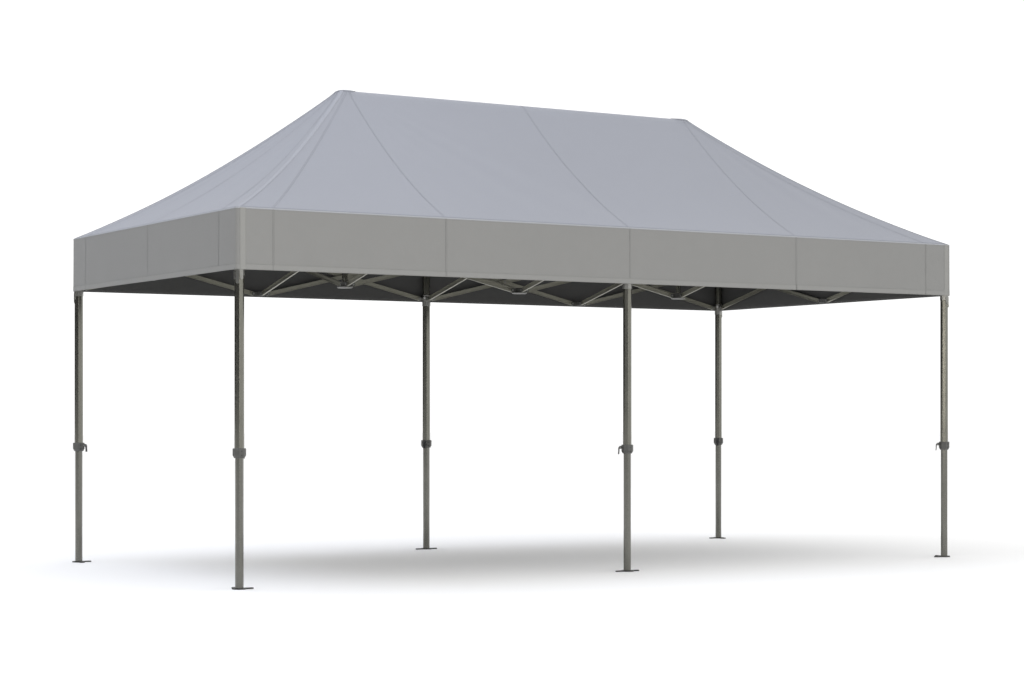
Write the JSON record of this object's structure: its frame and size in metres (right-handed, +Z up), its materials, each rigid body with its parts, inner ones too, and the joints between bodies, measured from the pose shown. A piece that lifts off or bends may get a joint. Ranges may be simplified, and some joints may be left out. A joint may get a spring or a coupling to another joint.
{
  "type": "folding canopy tent",
  "caption": "Folding canopy tent on telescopic legs, with scissor trusses, sprung masts, a hipped fabric roof and a hanging valance.",
  "frame": {"origin": "on the ground, under the middle of the tent", "axes": "+Z up, +X along the long side, the front long side faces -Y"},
  "size_m": [5.988, 3.038, 3.4441],
  "materials": {
    "leg_extrusion": "satin anodised, with paler arrises",
    "bar_extrusion": "satin anodised",
    "bracket_casting": "moulded, fine grain",
    "foot_plate": "powder coated",
    "clamp_body": "moulded, fine grain",
    "lever": "moulded",
    "lock_pin": "turned",
    "glide_plastic": "smooth",
    "rivet_steel": "zinc plated",
    "disc_plastic": "smooth, pale",
    "mast_tube": "satin anodised",
    "cap_plastic": "smooth",
    "spring_steel": "bright",
    "roof_fabric": "coated polyester, plain weave",
    "valance_fabric": "coated polyester, plain weave"
  },
  "bodies": {
    "frame": {"back_truss_bars": "bar_extrusion", "canopy_roof": "roof_fabric", "canopy_valance": "valance_fabric", "centre_truss_bars": "bar_extrusion", "clamp_bushes": "glide_plastic", "corner_heads": "bracket_casting", "corner_sliders": "bracket_casting", "end_rivets": "rivet_steel", "front_truss_bars": "bar_extrusion", "hub_discs": "disc_plastic", "left_cross_truss_bars": "bar_extrusion", "left_truss_bars": "bar_extrusion", "leg_clamps": "clamp_body", "lever_pins": "rivet_steel", "lower_hubs": "bracket_casting", "mast_spring_left": "spring_steel", "mast_spring_right": "spring_steel", "mast_tubes": "mast_tube", "middle_cross_truss_bars": "bar_extrusion", "middle_heads": "bracket_casting", "middle_rivets": "rivet_steel", "middle_sliders": "bracket_casting", "right_cross_truss_bars": "bar_extrusion", "right_truss_bars": "bar_extrusion", "spacer_washers": "glide_plastic", "upper_hubs": "bracket_casting", "upper_leg_back_left": "leg_extrusion", "upper_leg_back_middle": "leg_extrusion", "upper_leg_back_right": "leg_extrusion", "upper_leg_front_left": "leg_extrusion", "upper_leg_front_middle": "leg_extrusion", "upper_leg_front_right": "leg_extrusion"},
    "leg_extension_front_left": {"lower_leg_front_left": "leg_extrusion", "foot_front_left": "foot_plate"},
    "lever_front_left": {"clamp_lever_front_left": "lever"},
    "pull_pin_front_left": {"lock_pin_front_left": "lock_pin"},
    "leg_extension_front_right": {"lower_leg_front_right": "leg_extrusion", "foot_front_right": "foot_plate"},
    "lever_front_right": {"clamp_lever_front_right": "lever"},
    "pull_pin_front_right": {"lock_pin_front_right": "lock_pin"},
    "leg_extension_back_left": {"lower_leg_back_left": "leg_extrusion", "foot_back_left": "foot_plate"},
    "lever_back_left": {"clamp_lever_back_left": "lever"},
    "pull_pin_back_left": {"lock_pin_back_left": "lock_pin"},
    "leg_extension_back_right": {"lower_leg_back_right": "leg_extrusion", "foot_back_right": "foot_plate"},
    "lever_back_right": {"clamp_lever_back_right": "lever"},
    "pull_pin_back_right": {"lock_pin_back_right": "lock_pin"},
    "leg_extension_front_middle": {"lower_leg_front_middle": "leg_extrusion", "foot_front_middle": "foot_plate"},
    "lever_front_middle": {"clamp_lever_front_middle": "lever"},
    "pull_pin_front_middle": {"lock_pin_front_middle": "lock_pin"},
    "leg_extension_back_middle": {"lower_leg_back_middle": "leg_extrusion", "foot_back_middle": "foot_plate"},
    "lever_back_middle": {"clamp_lever_back_middle": "lever"},
    "pull_pin_back_middle": {"lock_pin_back_middle": "lock_pin"},
    "mast_left": {"mast_rod_left": "mast_tube", "mast_cap_left": "cap_plastic"},
    "mast_right": {"mast_rod_right": "mast_tube", "mast_cap_right": "cap_plastic"}
  },
  "joints": [
    {"name": "leg_slide_front_left", "type": "slide", "parent": "frame", "child": "leg_extension_front_left", "axis": [0, 0, 1], "range_m": [-0.15, 0.7]},
    {"name": "lever_hinge_front_left", "type": "hinge", "parent": "frame", "child": "lever_front_left", "pos_m": [-2.91592, -1.44092, 0.872], "axis": [0.7071, -0.7071, 0], "range_deg": [0, 110]},
    {"name": "lock_pin_slide_front_left", "type": "slide", "parent": "frame", "child": "pull_pin_front_left", "axis": [0.7071, 0.7071, 0], "range_m": [0, 0.012], "stiffness_N_per_m": 400, "springref_m": -0.01},
    {"name": "leg_slide_front_right", "type": "slide", "parent": "frame", "child": "leg_extension_front_right", "axis": [0, 0, 1], "range_m": [-0.15, 0.7]},
    {"name": "lever_hinge_front_right", "type": "hinge", "parent": "frame", "child": "lever_front_right", "pos_m": [2.91592, -1.44092, 0.872], "axis": [0.7071, 0.7071, 0], "range_deg": [0, 110]},
    {"name": "lock_pin_slide_front_right", "type": "slide", "parent": "frame", "child": "pull_pin_front_right", "axis": [-0.7071, 0.7071, 0], "range_m": [0, 0.012], "stiffness_N_per_m": 400, "springref_m": -0.01},
    {"name": "leg_slide_back_left", "type": "slide", "parent": "frame", "child": "leg_extension_back_left", "axis": [0, 0, 1], "range_m": [-0.15, 0.7]},
    {"name": "lever_hinge_back_left", "type": "hinge", "parent": "frame", "child": "lever_back_left", "pos_m": [-2.91592, 1.44092, 0.872], "axis": [-0.7071, -0.7071, 0], "range_deg": [0, 110]},
    {"name": "lock_pin_slide_back_left", "type": "slide", "parent": "frame", "child": "pull_pin_back_left", "axis": [0.7071, -0.7071, 0], "range_m": [0, 0.012], "stiffness_N_per_m": 400, "springref_m": -0.01},
    {"name": "leg_slide_back_right", "type": "slide", "parent": "frame", "child": "leg_extension_back_right", "axis": [0, 0, 1], "range_m": [-0.15, 0.7]},
    {"name": "lever_hinge_back_right", "type": "hinge", "parent": "frame", "child": "lever_back_right", "pos_m": [2.91592, 1.44092, 0.872], "axis": [-0.7071, 0.7071, 0], "range_deg": [0, 110]},
    {"name": "lock_pin_slide_back_right", "type": "slide", "parent": "frame", "child": "pull_pin_back_right", "axis": [-0.7071, -0.7071, 0], "range_m": [0, 0.012], "stiffness_N_per_m": 400, "springref_m": -0.01},
    {"name": "leg_slide_front_middle", "type": "slide", "parent": "frame", "child": "leg_extension_front_middle", "axis": [0, 0, 1], "range_m": [-0.15, 0.7]},
    {"name": "lever_hinge_front_middle", "type": "hinge", "parent": "frame", "child": "lever_front_middle", "pos_m": [-0.03408, -1.44092, 0.872], "axis": [0.7071, 0.7071, 0], "range_deg": [0, 110]},
    {"name": "lock_pin_slide_front_middle", "type": "slide", "parent": "frame", "child": "pull_pin_front_middle", "axis": [-0.7071, 0.7071, 0], "range_m": [0, 0.012], "stiffness_N_per_m": 400, "springref_m": -0.01},
    {"name": "leg_slide_back_middle", "type": "slide", "parent": "frame", "child": "leg_extension_back_middle", "axis": [0, 0, 1], "range_m": [-0.15, 0.7]},
    {"name": "lever_hinge_back_middle", "type": "hinge", "parent": "frame", "child": "lever_back_middle", "pos_m": [-0.03408, 1.44092, 0.872], "axis": [-0.7071, 0.7071, 0], "range_deg": [0, 110]},
    {"name": "lock_pin_slide_back_middle", "type": "slide", "parent": "frame", "child": "pull_pin_back_middle", "axis": [-0.7071, -0.7071, 0], "range_m": [0, 0.012], "stiffness_N_per_m": 400, "springref_m": -0.01},
    {"name": "mast_slide_left", "type": "slide", "parent": "frame", "child": "mast_left", "axis": [0, 0, 1], "range_m": [-0.25, 0], "stiffness_N_per_m": 200, "springref_m": 0.25, "deforming": ["mast_spring_left"]},
    {"name": "mast_slide_right", "type": "slide", "parent": "frame", "child": "mast_right", "axis": [0, 0, 1], "range_m": [-0.25, 0], "stiffness_N_per_m": 200, "springref_m": 0.25, "deforming": ["mast_spring_right"]}
  ],
  "couplings": [
    {"joint": "mast_slide_right", "follows": "mast_slide_left", "ratio": 1}
  ]
}
